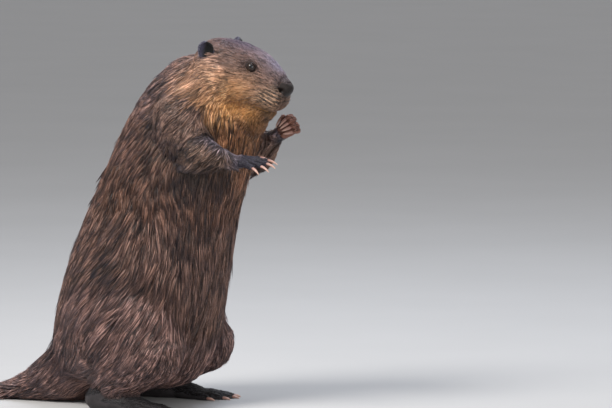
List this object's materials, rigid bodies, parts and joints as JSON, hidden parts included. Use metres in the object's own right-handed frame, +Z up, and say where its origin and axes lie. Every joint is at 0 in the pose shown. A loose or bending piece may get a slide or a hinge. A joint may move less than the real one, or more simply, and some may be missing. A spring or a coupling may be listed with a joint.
{
  "type": "beaver",
  "caption": "Life-size still model of a beaver standing upright on its hind feet and flat tail, one forepaw held out and one curled under the chin.",
  "frame": {"origin": "centre of the bounding box, on the floor", "axes": "+X the way the beaver faces, +Y its left, +Z up"},
  "size_m": [0.6984, 0.2786, 0.5288],
  "materials": {
    "fur": "wet brown coat",
    "hide": "dark grey skin with very short hair",
    "tail": "dark scaly skin",
    "claw": "pinkish-tan horn",
    "eye": "wet black"
  },
  "bodies": {
    "root": {"head": "fur", "lower_jaw": "fur", "nose": "hide", "eye_right": "eye", "eye_left": "eye", "ear_right": "hide", "ear_left": "hide", "neck": "fur", "chest": "fur", "belly": "fur", "rump": "fur", "tail_root": "fur", "tail_blade": "tail", "upper_arm_right": "fur", "upper_arm_left": "fur", "forearm_right": "fur", "forearm_left": "fur", "forepaw_right": "hide", "forepaw_left": "hide", "thigh_right": "fur", "thigh_left": "fur", "shank_right": "fur", "shank_left": "fur", "hind_foot_right": "hide", "hind_foot_left": "hide", "claw_fore_right_1": "claw", "claw_fore_right_2": "claw", "claw_fore_right_3": "claw", "claw_fore_right_4": "claw", "claw_fore_right_5": "claw", "claw_fore_left_1": "claw", "claw_fore_left_2": "claw", "claw_fore_left_3": "claw", "claw_fore_left_4": "claw", "claw_fore_left_5": "claw", "claw_hind_right_1": "claw", "claw_hind_right_2": "claw", "claw_hind_right_3": "claw", "claw_hind_right_4": "claw", "claw_hind_right_5": "claw", "claw_hind_left_1": "claw", "claw_hind_left_2": "claw", "claw_hind_left_3": "claw", "claw_hind_left_4": "claw", "claw_hind_left_5": "claw"}
  },
  "joints": []
}
